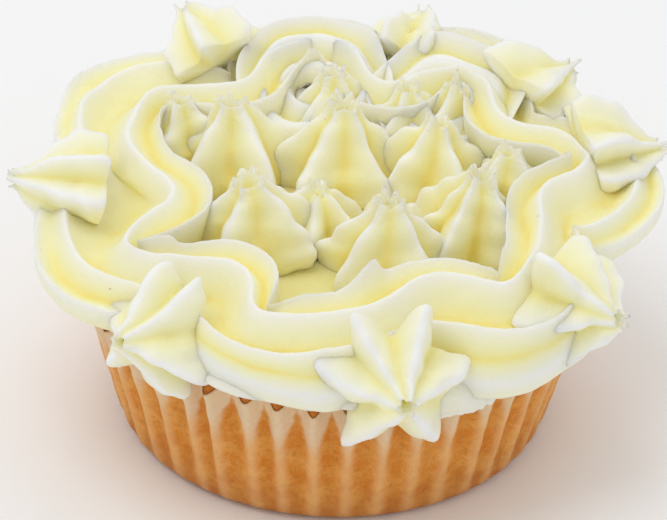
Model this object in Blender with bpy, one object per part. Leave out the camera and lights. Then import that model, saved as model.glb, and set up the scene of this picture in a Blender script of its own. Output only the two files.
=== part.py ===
"""Iced cupcake: a fluted paper case, the sponge in it, a spread bed of buttercream, a wavy
ring piped with a six-point open star nozzle, stars pressed round its outside, and upright
stars filling its middle.  Metres, +Z up, origin at the centre of the flat bottom."""

import math

import bmesh
import bpy
import numpy as np

MM = 0.001
GAP = 0.3 * MM                     # clearance between neighbouring pieces

# Paper case: a fluted cup, flat underneath
CASE_FLUTES = 44
CASE_HEIGHT = 19.0 * MM
CASE_FOOT_RADIUS = 24.6 * MM       # where the wall leaves the rounded bottom corner
CASE_RIM_RADIUS = 28.9 * MM        # half way between a flute's ridge and its crease
CASE_FLUTE_DEPTH = 1.3 * MM        # ridge to crease at the rim
CASE_CORNER = 1.8 * MM
CASE_WALL = 0.5 * MM
CASE_RIM_WAVE = 0.45 * MM          # the rim stands higher at each crease
CASE_PHASE = math.radians(266.3)   # direction of the first ridge
CASE_STATIONS = 2 * CASE_FLUTES    # a ridge and a crease for every flute

# Sponge: fills the case and stands above its rim, higher towards the back
SPONGE_TOP = 22.3 * MM
SPONGE_EDGE_ROUND = 1.5 * MM
SPONGE_FOOT_INSET = 1.2 * MM       # how far its bottom edge is chamfered in
SPONGE_FOOT_RISE = 2.7 * MM        # and up
SPONGE_CLEAR = 0.1 * MM            # more clearance to the case's creases
SPONGE_SIDES = 60

# The whole top leans: everything on it rises by this much for each unit towards +Y
LEAN = 0.075

# Buttercream bed, spread over the sponge with a lip that hangs outside it
BED_TOP = 25.0 * MM
BED_RADIUS = 32.2 * MM
BED_LIP_LOW = 20.0 * MM
BED_LIP_WAVE = 0.9 * MM
BED_LIP_ROUND = 0.6 * MM           # the lip's lower edge is drawn in by this much
BED_SHOULDER = 2.0 * MM            # chamfer round the top, in and down
BED_OVER_SPONGE = 2.6 * MM         # width of the slope from the lip to the sponge's top
BED_SIDES = 66

# Piped rope: a wide band with four ridges along its top, sloping down outwards.  Its section,
# inner foot to outer foot: distance across from the centre line, height above the case's foot
# in the middle of the cake.  The feet stand on the bed.
ROPE_SECTION = (
    (-5.0, None), (-6.6, 29.0), (-7.0, 32.4), (-5.0, 30.9), (-2.6, 32.5), (0.0, 28.6),
    (2.6, 30.4), (4.5, 28.2), (6.2, 29.4), (6.0, 27.2), (3.8, None),
)
# The outermost ridge hangs lower in front and lies closer in: direction, height of its crest,
# distance across
ROPE_OUTER_RIDGE = (
    (0.0, 28.2, 5.4), (30.0, 29.2, 5.6), (90.0, 29.5, 5.8), (170.0, 29.6, 5.8), (205.0, 29.4, 6.2),
    (222.0, 28.4, 5.4), (236.0, 27.8, 4.6), (250.0, 27.4, 4.3), (300.0, 27.2, 4.3),
    (330.0, 27.2, 4.3), (345.0, 27.6, 4.8),
)
ROPE_STATIONS = 96
ROPE_PINCH = 0.90                  # how closely two pressed flanks may meet
ROPE_EASING = 14                   # rounds of smoothing on the corners of its line

# The rope's scallops, anticlockwise from the front left, for its inner ridges and then for
# its outer ones, which cut across the turns more: the direction and radius of each inward
# notch, then the direction and radius of the crown that follows it
INNER_SCALLOPS = (
    (241.5, 23.6, 253.0, 29.6), (299.0, 24.2, 314.0, 30.4), (352.0, 25.6, 8.0, 31.8),
    (31.0, 24.0, 55.0, 27.4), (73.0, 18.5, 97.0, 28.0), (126.0, 21.0, 152.0, 29.2),
    (194.0, 20.8, 212.0, 30.8),
)
OUTER_SCALLOPS = (
    (230.0, 23.6, 253.0, 28.8), (293.0, 22.6, 313.0, 31.6), (347.0, 25.0, 7.0, 32.2),
    (32.0, 24.0, 59.0, 27.2), (77.0, 18.8, 100.0, 27.0), (123.0, 22.2, 148.0, 30.8),
    (172.0, 25.0, 207.0, 30.2),
)

# Stars pressed on outside the rope, one near each notch: direction, distance from the middle
# to the star's foot, height, length of its rays, depth, upward tilt of its axis, turn about it
RIM_STARS = (
    (283.0, 31.6, 23.6, 9.0, 5.8, 7.0, 54.0),
    (229.0, 31.4, 24.9, 8.6, 5.6, 14.0, 50.0),
    (184.0, 31.0, 27.7, 8.8, 7.2, 12.0, 0.0),
    (121.0, 31.0, 30.1, 8.6, 6.2, 12.0, 8.0),
    (76.0, 31.0, 29.9, 8.4, 6.0, 14.0, 4.0),
    (45.0, 31.0, 29.4, 8.6, 6.8, 14.0, 8.0),
    (16.0, 32.0, 28.4, 8.8, 6.8, 8.0, 10.0),
    (327.0, 31.8, 25.8, 9.0, 6.8, 5.0, 0.0),
)

# Six-point stars: radius in a groove as a share of that over a ridge, how a star narrows
# along its axis (share of its height, share of its radius), and how deep its tip is hollow
STAR_RIDGES = 6
STAR_GROOVE = 0.58
STAR_PROFILE = ((0.0, 0.94), (0.22, 0.96), (0.55, 0.68), (0.82, 0.36))
STAR_CROWN = (0.90, 1.0)           # height of the torn crown in a groove and on a ridge
STAR_CROWN_WIDTH = 0.22
STAR_PIT = 0.68

# Upright stars in the middle: place in plan, radius over the ridges, height, lean, turn
CENTRE_STARS = (
    (0.4, 7.3, 8.6, 11.6, 3.0, 0.0),
    (-11.6, 8.2, 8.2, 10.6, 6.0, -6.0),
    (-9.2, -6.2, 8.2, 11.2, 6.0, 6.0),
    (5.4, -9.4, 7.8, 11.2, 5.0, -6.0),
    (14.8, -4.0, 7.2, 11.0, 8.0, 8.0),
    (10.6, 6.6, 7.0, 10.4, 6.0, -8.0),
    (-2.2, -2.6, 5.8, 7.6, 2.0, 20.0),
    (-1.0, 16.0, 6.6, 9.4, 4.0, 5.0),
    (7.6, 14.2, 5.8, 9.0, 4.0, 10.0),
    (18.6, 3.2, 5.4, 8.8, 6.0, 0.0),
    (-17.6, 11.0, 5.4, 8.8, 8.0, 12.0),
    (12.8, 15.6, 5.4, 8.4, 6.0, 16.0),
)


def lean_at(y):
    """Extra height of the cake's top at a distance towards the back."""
    return LEAN * y


def clear_scene():
    for old in list(bpy.data.objects):
        bpy.data.objects.remove(old, do_unlink=True)


def material(name, colour, roughness):
    made = bpy.data.materials.new(name)
    made.use_nodes = True
    shader = made.node_tree.nodes["Principled BSDF"]
    shader.inputs["Base Color"].default_value = (*colour, 1.0)
    shader.inputs["Roughness"].default_value = roughness
    shader.inputs["Metallic"].default_value = 0.0
    return made


def object_from(name, points, faces, made):
    """One named object from an array of points and a list of faces."""
    mesh = bpy.data.meshes.new(name)
    mesh.from_pydata([tuple(p) for p in points], [], faces)
    mesh.shade_smooth()
    mesh.set_sharp_from_angle(angle=math.radians(40.0))
    placed = bpy.data.objects.new(name, mesh)
    bpy.context.collection.objects.link(placed)
    placed.data.materials.append(made)
    return placed


def ring_faces(rings, count, closed):
    """Quads between neighbouring rings of points, round and, if closed, back to the first."""
    faces = []
    spans = rings if closed else rings - 1
    for ring in range(spans):
        here = ring * count
        there = ((ring + 1) % rings) * count
        for side in range(count):
            after = (side + 1) % count
            faces.append((here + side, here + after, there + after, there + side))
    return faces


def stacked_solid(name, rings, start, end, made):
    """A solid from a stack of rings, closed by a fan to a point at either end."""
    count = len(rings[0])
    points = np.concatenate([*rings, [start], [end]])
    first = len(rings) * count
    faces = ring_faces(len(rings), count, closed=False)
    top = (len(rings) - 1) * count
    for side in range(count):
        after = (side + 1) % count
        faces.append((first, after, side))
        faces.append((first + 1, top + side, top + after))
    return object_from(name, points, faces, made)


def circle(angles, radius, height):
    """Points at the given directions, radii and heights."""
    level = np.zeros_like(angles) + height
    return np.stack([radius * np.cos(angles), radius * np.sin(angles), level], axis=1)


# ---- paper case and sponge -------------------------------------------------------------

def case_radius(height):
    """Mean radius of the case's wall, which opens out evenly above the rounded corner."""
    rise = height / CASE_HEIGHT
    return CASE_FOOT_RADIUS + (CASE_RIM_RADIUS - CASE_FOOT_RADIUS) * rise


def build_case(made):
    """A cup whose pleats fade out at the rounded bottom corner."""
    station = np.arange(CASE_STATIONS)
    angles = CASE_PHASE + station * math.tau / CASE_STATIONS
    pleat = np.where(station % 2 == 0, 0.5, -0.5)

    def wall(height, inward):
        depth = CASE_FLUTE_DEPTH * height / CASE_HEIGHT
        level = height - pleat * 2.0 * CASE_RIM_WAVE * (height == CASE_HEIGHT)
        return circle(angles, case_radius(height) + pleat * depth - inward, level)

    corner = 0.3 * CASE_CORNER
    outside = [
        circle(angles, CASE_FOOT_RADIUS - CASE_CORNER, 0.0),
        circle(angles, CASE_FOOT_RADIUS - corner, corner),
        wall(CASE_CORNER, 0.0),
        wall(0.5 * CASE_HEIGHT, 0.0),
        wall(CASE_HEIGHT, 0.0),
    ]
    inside = [
        wall(CASE_HEIGHT, CASE_WALL),
        wall(0.5 * CASE_HEIGHT, CASE_WALL),
        wall(CASE_CORNER + CASE_WALL, CASE_WALL),
        circle(angles, CASE_FOOT_RADIUS - CASE_CORNER - CASE_WALL, CASE_WALL),
    ]
    return stacked_solid(
        "paper_case", outside + inside, (0.0, 0.0, 0.0), (0.0, 0.0, CASE_WALL), made
    )


def build_sponge(made):
    """Cake that fills the case as far as its creases and stands above the rim."""
    angles = np.arange(SPONGE_SIDES) * math.tau / SPONGE_SIDES
    clear = CASE_WALL + GAP + 0.5 * CASE_FLUTE_DEPTH + SPONGE_CLEAR
    bottom = CASE_WALL + GAP
    heel = bottom + SPONGE_FOOT_RISE
    rings = [
        circle(angles, CASE_FOOT_RADIUS - CASE_CORNER - SPONGE_FOOT_INSET, bottom),
        circle(angles, case_radius(heel) - clear, heel),
        circle(angles, case_radius(CASE_HEIGHT) - clear, CASE_HEIGHT),
    ]
    edge = case_radius(CASE_HEIGHT) - clear
    shoulder = circle(angles, edge, SPONGE_TOP - SPONGE_EDGE_ROUND)
    crown = circle(angles, edge - SPONGE_EDGE_ROUND, SPONGE_TOP)
    for ring in (shoulder, crown):
        ring[:, 2] += lean_at(ring[:, 1])
    return stacked_solid(
        "sponge", [*rings, shoulder, crown], (0, 0, bottom), (0, 0, SPONGE_TOP), made
    )


# ---- buttercream bed -------------------------------------------------------------------

def build_bed(made):
    """A shallow cap over the sponge, its lip hanging lower here and there."""
    angles = np.arange(BED_SIDES) * math.tau / BED_SIDES
    wave = np.sin(3 * angles + 0.4) + 0.6 * np.sin(7 * angles) + 0.4 * np.sin(11 * angles)
    low = BED_LIP_LOW + 0.5 * BED_LIP_WAVE * wave
    inner = case_radius(CASE_HEIGHT) + 0.5 * CASE_FLUTE_DEPTH + GAP
    under = circle(angles, inner - BED_OVER_SPONGE, SPONGE_TOP + GAP)
    over = circle(angles, BED_RADIUS - BED_SHOULDER, BED_TOP)
    lip_inside = circle(angles, inner, low)
    lip_outside = circle(angles, BED_RADIUS - BED_LIP_ROUND, low)
    shoulder = circle(angles, BED_RADIUS, BED_TOP - BED_SHOULDER)
    for ring in (under, over, shoulder):
        ring[:, 2] += lean_at(ring[:, 1])
    rings = [under, lip_inside, lip_outside, shoulder, over]
    return stacked_solid(
        "cream_bed", rings, (0, 0, SPONGE_TOP + GAP), (0, 0, BED_TOP), made
    )


# ---- piped rope ------------------------------------------------------------------------

def scallop_line(scallops):
    """A line in plan that swells from each notch to its crown as a quarter sine and falls to
    the next notch as a quarter cosine."""
    directions, radii = [], []
    for index, (notch, notch_radius, crown, crown_radius) in enumerate(scallops):
        after, after_radius = scallops[(index + 1) % len(scallops)][:2]
        rise = np.linspace(0.0, 1.0, 40, endpoint=False)
        crown = notch + (crown - notch) % 360.0
        after = crown + (after - crown) % 360.0
        quarter = 0.5 * math.pi * rise
        directions += [notch + (crown - notch) * rise, crown + (after - crown) * rise]
        radii += [
            notch_radius + (crown_radius - notch_radius) * np.sin(quarter),
            after_radius + (crown_radius - after_radius) * np.cos(quarter),
        ]
    return np.concatenate(radii) * MM * np.exp(1j * np.radians(np.concatenate(directions)))


def rope_lines():
    """The lines that the inner and the outer ridges follow, laid out evenly, station for
    station, with their corners eased."""
    lines = [scallop_line(INNER_SCALLOPS), scallop_line(OUTER_SCALLOPS)]
    lines = even_spacing(lines, 4 * ROPE_STATIONS)
    for _ in range(ROPE_EASING):
        lines = [0.5 * x + 0.25 * (np.roll(x, 1) + np.roll(x, -1)) for x in lines]
    return even_spacing(lines, ROPE_STATIONS)


def even_spacing(lines, count):
    """Closed lines of complex points laid out again at equal steps along the first."""
    shut = [np.append(line, line[0]) for line in lines]
    along = np.concatenate([[0.0], np.cumsum(np.abs(np.diff(shut[0])))])
    steps = np.linspace(0.0, along[-1], count, endpoint=False)
    return [np.interp(steps, along, x.real) + 1j * np.interp(steps, along, x.imag) for x in shut]


def room_beside(line, side):
    """Distance from each point of the line, towards one side, to where it would meet the
    flank of another stretch: the smallest circle that touches here and passes there."""
    forward = np.roll(line, -1) - np.roll(line, 1)
    out = -1j * side * forward / np.abs(forward)
    apart = line[None, :] - line[:, None]
    towards = (apart * np.conj(out[:, None])).real
    touching = np.abs(apart) ** 2 / (2.0 * np.maximum(towards, 1e-9))
    facing = np.where(towards > 1e-9, touching, 1.0)
    return out, np.min(facing, axis=1)


def pressed_flank(line, across, inward):
    """Points beside a line, held closer where the line turns sharply so that flanks which
    would cross are pressed against each other instead."""
    out, room_out = room_beside(line, 1)
    room_in = room_beside(line, -1)[1]
    room = np.where(inward, room_in[:, None], room_out[:, None]) * ROPE_PINCH
    pressed = across / (1.0 + (np.abs(across) / room) ** 4) ** 0.25
    return line[:, None] + pressed * out[:, None]


def rope_solid(name, made):
    """The ridged section carried round the scalloped lines: its inner ridges follow one and
    its outer ridges the other."""
    inner_line, outer_line = rope_lines()
    foot = (BED_TOP + GAP) / MM
    section = np.array([(part[0], foot if part[1] is None else part[1]) for part in ROPE_SECTION])
    across = np.repeat(section[None, :, 0] * MM, ROPE_STATIONS, axis=0)
    level = np.repeat(section[None, :, 1] * MM, ROPE_STATIONS, axis=0)
    ridge = np.array(ROPE_OUTER_RIDGE)
    direction = np.degrees(np.angle(outer_line)) % 360.0
    level[:, 8] = np.interp(direction, ridge[:, 0], ridge[:, 1], period=360.0) * MM
    across[:, 8] = np.interp(direction, ridge[:, 0], ridge[:, 2], period=360.0) * MM
    across[:, 7] = 0.5 * (across[:, 6] + across[:, 8])
    level[:, 7] = 0.5 * (level[:, 6] + level[:, 8]) - 0.4 * (across[:, 8] - across[:, 6])
    across[:, 9] = across[:, 8] - 0.2 * MM
    level[:, 9] = 0.5 * (level[:, 8] + foot * MM)
    across[:, 10] = across[:, 8] - 1.8 * MM
    plan = pressed_flank(inner_line, across, across <= 0.0)
    outer_plan = pressed_flank(outer_line, across, across <= 0.0)
    plan = np.where(across > 1.0 * MM, outer_plan, plan)
    middle = 0.5 * (plan[:, 4] + plan[:, 6])
    plan[:, 5] = middle
    points = np.stack([plan.real, plan.imag, level + lean_at(plan.imag)], axis=2)
    faces = ring_faces(ROPE_STATIONS, len(ROPE_SECTION), closed=True)
    return object_from(name, points.reshape(-1, 3), faces, made)


# ---- piped stars -----------------------------------------------------------------------

def star_section(turns):
    """Share of a star's radius at the given angles: 1 on a ridge, less in a groove."""
    wave = 0.5 + 0.5 * np.cos(STAR_RIDGES * turns)
    return STAR_GROOVE + (1.0 - STAR_GROOVE) * wave


def star_points(radius, height, grow):
    """Rings of a star along its own axis, with the tips of its ridges torn up into a crown
    round a pit.  The rings are in the star's own frame, standing on its foot."""
    turns = np.arange(2 * STAR_RIDGES) * math.pi / STAR_RIDGES
    section = star_section(turns)
    ridge = (section - STAR_GROOVE) / (1.0 - STAR_GROOVE)
    rings = []
    for share, width in STAR_PROFILE:
        level = share * height - grow * (share == 0.0)
        rings.append(circle(turns, section * width * radius + grow, level))
    low, high = STAR_CROWN
    crown = height * (low + (high - low) * ridge) + grow
    rings.append(circle(turns, section * STAR_CROWN_WIDTH * radius + grow, crown))
    return rings, (0.0, 0.0, -grow), (0.0, 0.0, STAR_PIT * height + grow)


def star_frame(axis, turn):
    """Matrix whose columns are a star's own X, Y and Z directions."""
    axis = np.array(axis) / np.linalg.norm(axis)
    guide = np.array([0.0, 0.0, 1.0]) if abs(axis[2]) < 0.7 else np.array([0.0, 1.0, 0.0])
    side = np.cross(guide, axis)
    side /= np.linalg.norm(side)
    ahead = np.cross(axis, side)
    c, s = math.cos(turn), math.sin(turn)
    return np.stack([c * side + s * ahead, c * ahead - s * side, axis], axis=1)


def placed_star(name, foot, axis, turn, radius, height, grow, made, limits=None):
    """A star set on its foot along an axis.  One in the middle, which has limits, is flat
    underneath and flattened where it meets its neighbours."""
    frame = star_frame(axis, turn)
    rings, start, end = star_points(radius, height, grow)
    placed = []
    for ring in rings:
        centre = foot + frame @ np.array([0.0, 0.0, ring[:, 2].mean()])
        points = foot + ring @ frame.T
        for normal, offset in limits or ():
            beyond = (points - centre) @ normal
            free = offset - centre @ normal
            share = np.where(beyond > free, free / np.maximum(beyond, 1e-9), 1.0)
            points = centre + (points - centre) * share[:, None]
        if limits is not None:
            floor = BED_TOP + GAP - grow + lean_at(points[:, 1])
            points[:, 2] = np.maximum(points[:, 2], floor)
        placed.append(points)
    return stacked_solid(name, placed, foot + frame @ start, foot + frame @ end, made)


def centre_limits(index):
    """Upright planes half way between one centre star and each of the others."""
    x, y, radius = CENTRE_STARS[index][:3]
    limits = []
    for other, (ox, oy, other_radius, *_rest) in enumerate(CENTRE_STARS):
        if other == index:
            continue
        between = np.array([ox - x, oy - y, 0.0]) * MM
        apart = np.linalg.norm(between)
        normal = between / apart
        share = radius / (radius + other_radius)
        here = np.array([x, y, 0.0]) @ normal * MM
        limits.append((normal, here + apart * share - 0.5 * GAP))
    return limits


def centre_star(index, name, grow, made):
    x, y, radius, height, tilt, turn = CENTRE_STARS[index]
    foot = np.array([x * MM, y * MM, BED_TOP + GAP + lean_at(y * MM)])
    outward = np.array([x, y]) / max(math.hypot(x, y), 1.0)
    slope = math.tan(math.radians(tilt))
    axis = (outward[0] * slope, outward[1] * slope, 1.0)
    return placed_star(
        name, foot, axis, math.radians(turn), radius * MM, height * MM, grow, made,
        centre_limits(index) if grow == 0.0 else [],
    )


def rim_star(index, name, grow, made):
    direction, distance, level, ray, depth, tilt, turn = RIM_STARS[index]
    angle, up = math.radians(direction), math.radians(tilt)
    foot = np.array([distance * math.cos(angle), distance * math.sin(angle), level]) * MM
    axis = (
        math.cos(angle) * math.cos(up), math.sin(angle) * math.cos(up), math.sin(up)
    )
    return placed_star(
        name, foot, axis, math.radians(turn), ray * MM, depth * MM, grow, made
    )


# ---- fitting the pieces together -------------------------------------------------------

def cut(target, cutters):
    """Take each cutter out of the target, and keep the largest piece that is left."""
    for cutter in cutters:
        step = target.modifiers.new(cutter.name, "BOOLEAN")
        step.operation = "DIFFERENCE"
        step.solver = "EXACT"
        step.object = cutter
    graph = bpy.context.evaluated_depsgraph_get()
    shaped = bpy.data.meshes.new_from_object(target.evaluated_get(graph))
    target.modifiers.clear()
    target.data = shaped
    keep_largest(shaped)


def keep_largest(mesh):
    """Delete every loose crumb but the body with the most faces."""
    work = bmesh.new()
    work.from_mesh(mesh)
    bmesh.ops.remove_doubles(work, verts=work.verts, dist=0.02 * MM)
    bmesh.ops.dissolve_degenerate(work, dist=0.01 * MM, edges=work.edges)
    bmesh.ops.triangulate(work, faces=work.faces)
    waiting = set(work.faces)
    bodies = []
    while waiting:
        seed = waiting.pop()
        body, front = {seed}, [seed]
        while front:
            near = {f for e in front.pop().edges for f in e.link_faces} & waiting
            waiting -= near
            body |= near
            front += near
        bodies.append(body)
    bodies.sort(key=len)
    for crumb in bodies[:-1]:
        bmesh.ops.delete(work, geom=list(crumb), context="FACES")
    loose = [v for v in work.verts if not v.link_faces]
    bmesh.ops.delete(work, geom=loose, context="VERTS")
    work.to_mesh(mesh)
    work.free()


def cutter_from(builder, index, name, made):
    """A hidden copy of a star, one clearance larger all round."""
    placed = builder(index, name, GAP, made)
    placed.hide_render = True
    placed.display_type = "WIRE"
    return placed


def build():
    clear_scene()
    paper = material("case_paper", (0.72, 0.42, 0.17), 0.62)
    cake = material("sponge_cake", (0.62, 0.30, 0.09), 0.85)
    cream = material("buttercream", (0.93, 0.86, 0.60), 0.42)

    build_case(paper)
    build_sponge(cake)
    bed = build_bed(cream)
    rope = rope_solid("cream_ring", cream)

    rim_cutters, centre_cutters = [], []
    for index in range(len(RIM_STARS)):
        rim_star(index, f"rim_star_{index + 1}", 0.0, cream)
        rim_cutters.append(cutter_from(rim_star, index, f"cut_rim_{index + 1}", cream))
    for index in range(len(CENTRE_STARS)):
        centre_star(index, f"centre_star_{index + 1}", 0.0, cream)
        centre_cutters.append(
            cutter_from(centre_star, index, f"cut_centre_{index + 1}", cream)
        )
    cut(bed, rim_cutters)
    cut(rope, rim_cutters + centre_cutters)


build()
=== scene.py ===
"""A small iced cupcake: a fluted paper baking case, the sponge baked in it, and pale
buttercream spread and piped over the top with an open star nozzle.  Metres, +Z up."""

import math

import bpy
import numpy as np
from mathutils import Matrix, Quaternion, Vector


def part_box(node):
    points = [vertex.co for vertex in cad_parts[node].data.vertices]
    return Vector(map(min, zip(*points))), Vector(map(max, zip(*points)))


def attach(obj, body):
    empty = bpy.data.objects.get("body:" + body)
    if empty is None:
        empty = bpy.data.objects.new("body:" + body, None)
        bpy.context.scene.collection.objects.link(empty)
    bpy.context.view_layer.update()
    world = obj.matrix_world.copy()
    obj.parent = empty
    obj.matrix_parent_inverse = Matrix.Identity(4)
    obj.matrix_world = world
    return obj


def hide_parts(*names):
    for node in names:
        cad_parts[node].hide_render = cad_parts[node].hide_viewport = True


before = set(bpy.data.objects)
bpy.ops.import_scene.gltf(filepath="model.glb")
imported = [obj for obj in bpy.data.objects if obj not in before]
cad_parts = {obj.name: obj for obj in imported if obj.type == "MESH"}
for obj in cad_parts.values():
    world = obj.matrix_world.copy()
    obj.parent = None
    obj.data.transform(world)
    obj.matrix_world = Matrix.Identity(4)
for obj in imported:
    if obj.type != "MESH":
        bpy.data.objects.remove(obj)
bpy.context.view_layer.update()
MM = 0.001


# ---- Paper case -------------------------------------------------------------------------
# A cup of greaseproof paper pressed into flutes, flat underneath.  The creases lie against
# the cake and have gone clear with fat, so the brown crust shows through them; the ridges
# stand off the cake and stay the pale colour of the paper.

case_low, case_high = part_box("paper_case")
CASE_FLUTES = 44
CASE_FIRST_RIDGE = math.radians(266.3)
CASE_LOOSE_SIDE = math.radians(232)   # the paper stands off the cake furthest down here
CASE_FOOT_RADIUS = 24.6 * MM
CASE_RIDGE_REACH = 0.65 * MM          # how far the ridges stand out beyond the rim's radius
CASE_RIM_RADIUS = 0.5 * (case_high.x - case_low.x) - CASE_RIDGE_REACH
CASE_CREASE_RISE = 0.45 * MM          # how far the creases stand above the rim's height
CASE_HEIGHT = case_high.z - CASE_CREASE_RISE
CASE_RIM_WAVE = 1.1 * MM              # from a ridge up to a crease along the rim
CASE_PLEAT = 1.65 * MM                # from a crease out to a ridge at the rim
CASE_CORNER = 1.8 * MM                # radius of the corner round the foot
CASE_PAPER = 0.15 * MM
CASE_ACROSS = 14                      # points across one flute
CASE_CORNER_ROWS = 5
CASE_WALL_ROWS = 33
CASE_FLOOR_RINGS = (0.35, 0.7, 1.0)   # shares of the flat floor's radius
CASE_FOOT_ROWS = len(CASE_FLOOR_RINGS) + CASE_CORNER_ROWS
CRUST_BROWN = (0.72, 0.245, 0.022)
CRUST_GOLD = (0.80, 0.36, 0.065)
CRUST_SPECK = (0.46, 0.135, 0.016)
CRUST_FOOT = (0.42, 0.15, 0.05)
# colour of the painted shade in the creases
CRUST_CREASE_SHADE = (0.52, 0.165, 0.02)
PAPER_FIBRE = (0.88, 0.54, 0.22)
# colour of the painted highlight drawn down each ridge
PAPER_RIDGE_HIGHLIGHT = (0.92, 0.55, 0.24)
PAPER_PALE = (0.84, 0.63, 0.41)
PAPER_GREASED = (0.76, 0.45, 0.20)


def waver(points, size, seed, waves=20):
    """An uneven field of about unit height over an array of points: the sum of sine waves in
    random directions, each about `size` long."""
    chance = np.random.default_rng(seed)
    heading = chance.normal(size=(3, waves))
    heading *= math.tau / (size * np.linalg.norm(heading, axis=0))
    heading *= chance.uniform(0.7, 1.5, waves)
    turn = chance.uniform(0.0, math.tau, waves)
    return np.sin(points @ heading + turn).sum(axis=-1) * math.sqrt(2.0 / waves)


def smooth_step(value, low, high):
    """0 up to low and 1 from high on, with a smooth cubic change between."""
    share = np.clip((value - low) / (high - low), 0.0, 1.0)
    return share * share * (3.0 - 2.0 * share)


def skin(name, sheet, ends=None, **shades):
    """A closed mesh over a grid of points: every row is a ring, and the rows either join up
    into a hoop or, given two end points, are closed by a fan at each end.  Each shade is a
    value for every point of the grid, kept on the mesh for its material to read."""
    rows, columns = sheet.shape[:2]
    spans = rows if ends is None else rows - 1
    row, column = np.meshgrid(np.arange(spans), np.arange(columns), indexing="ij")
    after, above = (column + 1) % columns, (row + 1) % rows
    corners = (row, column), (row, after), (above, after), (above, column)
    quads = np.stack([r * columns + c for r, c in corners], axis=-1).reshape(-1, 4)
    points = sheet.reshape(-1, 3)
    faces = quads.tolist()
    if ends is not None:
        points = np.concatenate([points, np.array(ends)])
        first, last = rows * columns, rows * columns + 1
        side = np.arange(columns)
        beside = (side + 1) % columns
        top = (rows - 1) * columns
        faces += np.stack([np.full(columns, first), beside, side], axis=1).tolist()
        faces += np.stack([np.full(columns, last), top + side, top + beside], axis=1).tolist()
    mesh = bpy.data.meshes.new(name)
    mesh.from_pydata(points.tolist(), [], faces)
    mesh.shade_smooth()
    for shade, values in shades.items():
        flat = np.zeros(len(points), np.float32)
        flat[: rows * columns] = values.reshape(-1)
        if ends is not None:
            flat[first] = values[0].mean()
            flat[last] = values[-1].mean()
        mesh.attributes.new(shade, "FLOAT", "POINT").data.foreach_set("value", flat)
    piece = bpy.data.objects.new(name, mesh)
    bpy.context.scene.collection.objects.link(piece)
    return piece


def rings(angles, radius, height):
    """Points at radius times the cosine and sine of each direction, row by row, at heights."""
    height = np.broadcast_to(height, radius.shape)
    return np.stack([radius * np.cos(angles), radius * np.sin(angles), height], axis=-1)


def flutes():
    """Direction of each column, its place counted in flutes, and how deep the flutes are there
    against the usual depth.  Each ridge has a depth and a sideways drift of its own, and both
    change smoothly from one ridge to the next."""
    chance = np.random.default_rng(4)
    place = np.arange(CASE_FLUTES * CASE_ACROSS) / CASE_ACROSS
    flute = place.astype(int)
    depth = chance.uniform(0.78, 1.22, CASE_FLUTES + 1)
    drift = chance.normal(0.0, 0.07, CASE_FLUTES + 1)
    depth[-1], drift[-1] = depth[0], drift[0]
    blend = smooth_step(place - flute, 0.0, 1.0)
    uneven = depth[flute] * (1.0 - blend) + depth[flute + 1] * blend
    shift = drift[flute] * (1.0 - blend) + drift[flute + 1] * blend
    angles = CASE_FIRST_RIDGE + (place + shift) * math.tau / CASE_FLUTES
    return angles, place, uneven


def clear_paper(sheet, levels, angles, place):
    """How clear with fat the paper is, from 0 to 1.  It is pale in a tongue down each ridge,
    whose width falls from half a flute at the rim as the exponential of a power of the
    distance down, and in a narrow band along the rim."""
    across = np.abs(place - np.round(place))
    from_rim = (CASE_HEIGHT - levels) / MM
    loose = np.cos(angles - CASE_LOOSE_SIDE) ** 2 * (np.sin(angles) < 0.0)
    tongue = 0.05 + 0.44 * np.exp(-((from_rim / (4.6 + 1.6 * loose)) ** 1.6))
    standing = smooth_step(tongue + 0.03 * waver(sheet, 2.0 * MM, 13) - across, -0.13, 0.10)
    lower = smooth_step(from_rim, 1.5, 9.0)
    clear = 1.0 - standing * (1.0 - 0.72 * lower)
    return clear * (0.12 + 0.88 * smooth_step(from_rim + 1.6 * across, -0.2, 4.6))


def case_sheet(inset):
    """One face of the case: rows from the middle of the foot out to the rounded corner and up
    the wall.  The radius opens evenly with height, plus a pleat shaped like a raised cosine to
    a power, so that ridges are narrow and creases broad; the pleat fades out downwards."""
    angles, place, uneven = flutes()
    ridge = (0.5 + 0.5 * np.cos(math.tau * place)) ** 1.5
    corner = np.linspace(0.0, 0.5 * math.pi, CASE_CORNER_ROWS + 1)[1:]
    rise = np.linspace(CASE_CORNER, CASE_HEIGHT, CASE_WALL_ROWS + 1)[1:]
    floor = CASE_FOOT_RADIUS - CASE_CORNER
    floor_radii = floor * np.array(CASE_FLOOR_RINGS)
    corner_radii = floor + CASE_CORNER * np.sin(corner)
    corner_levels = CASE_CORNER * (1.0 - np.cos(corner))
    levels = np.concatenate([np.zeros(len(floor_radii)), corner_levels, rise])[:, None]
    opening = (CASE_RIM_RADIUS - CASE_FOOT_RADIUS) * levels / CASE_HEIGHT
    wall_radii = np.full(len(rise), CASE_FOOT_RADIUS)
    radii = np.concatenate([floor_radii, corner_radii, wall_radii])[:, None] + opening
    share = np.clip((levels - 0.3 * MM) / CASE_HEIGHT, 0.0, 1.0) ** 0.8
    pleat = CASE_PLEAT * share * uneven * (ridge - 0.45)
    wave = CASE_RIM_WAVE * (0.5 - ridge) * uneven * (levels / CASE_HEIGHT) ** 6
    sheet = rings(angles, radii + pleat, levels + wave)
    bulge = waver(sheet, 16 * MM, 11) * 0.12 * MM * share
    crinkle = waver(sheet, 3.2 * MM, 12) * 0.05 * MM * share
    heights = levels + wave + inset * (levels < CASE_CORNER)
    sheet = rings(angles, radii + pleat + bulge + crinkle - inset, heights)
    clear = clear_paper(sheet, levels, angles, place)
    return sheet, np.broadcast_to(ridge, clear.shape), clear


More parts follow.
